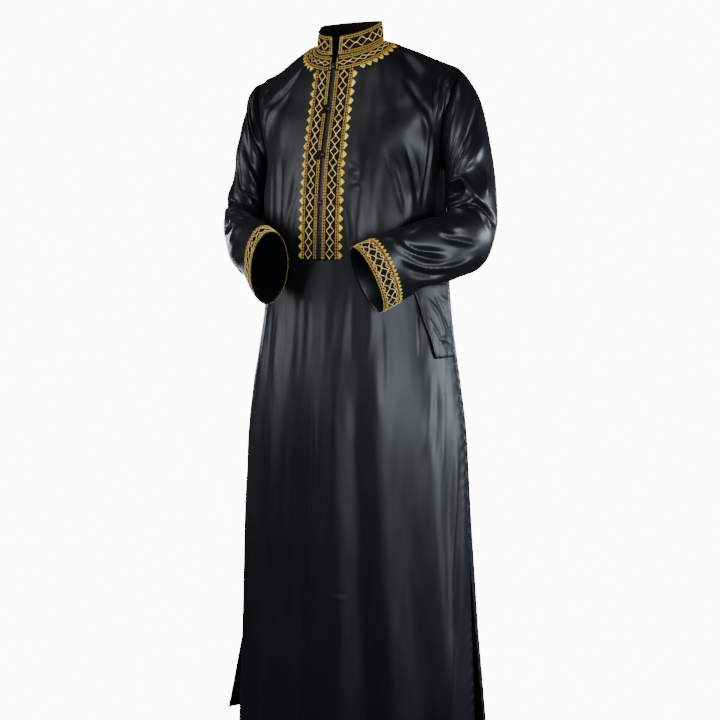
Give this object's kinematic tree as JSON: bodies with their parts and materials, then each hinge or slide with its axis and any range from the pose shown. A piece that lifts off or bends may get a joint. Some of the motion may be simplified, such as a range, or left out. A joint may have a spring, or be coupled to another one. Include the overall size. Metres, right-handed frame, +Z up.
{
  "type": "qamis",
  "caption": "Ankle-length black satin qamis as worn, with bent sleeves, a stand collar, gold-embroidered neck, front opening and cuffs, a side pocket and side slits.",
  "frame": {"origin": "middle of the neckline, where the wearer's neck and shoulders carry the garment", "axes": "+Z up, the garment's front faces -Y, the wearer's left is +X"},
  "size_m": [0.6446, 0.4792, 1.5001],
  "materials": {
    "satin_front": "black polyester satin, soft sheen",
    "satin_back": "black polyester satin, soft sheen",
    "satin_sleeve": "black polyester satin, soft sheen",
    "satin_pocket": "black polyester satin, soft sheen",
    "embroidered_band": "brownish black ground closely covered with gold thread",
    "button_black": "glossy black"
  },
  "bodies": {
    "root": {"front_panel": "satin_front", "back_panel": "satin_back", "sleeve_left": "satin_sleeve", "sleeve_right": "satin_sleeve", "collar": "embroidered_band", "neck_band": "embroidered_band", "placket_band_left": "embroidered_band", "placket_band_right": "embroidered_band", "placket_underlap": "satin_front", "cuff_band_left": "embroidered_band", "cuff_band_right": "embroidered_band", "pocket_left": "satin_pocket", "button_1": "button_black", "button_2": "button_black", "button_3": "button_black", "button_4": "button_black"}
  },
  "joints": []
}
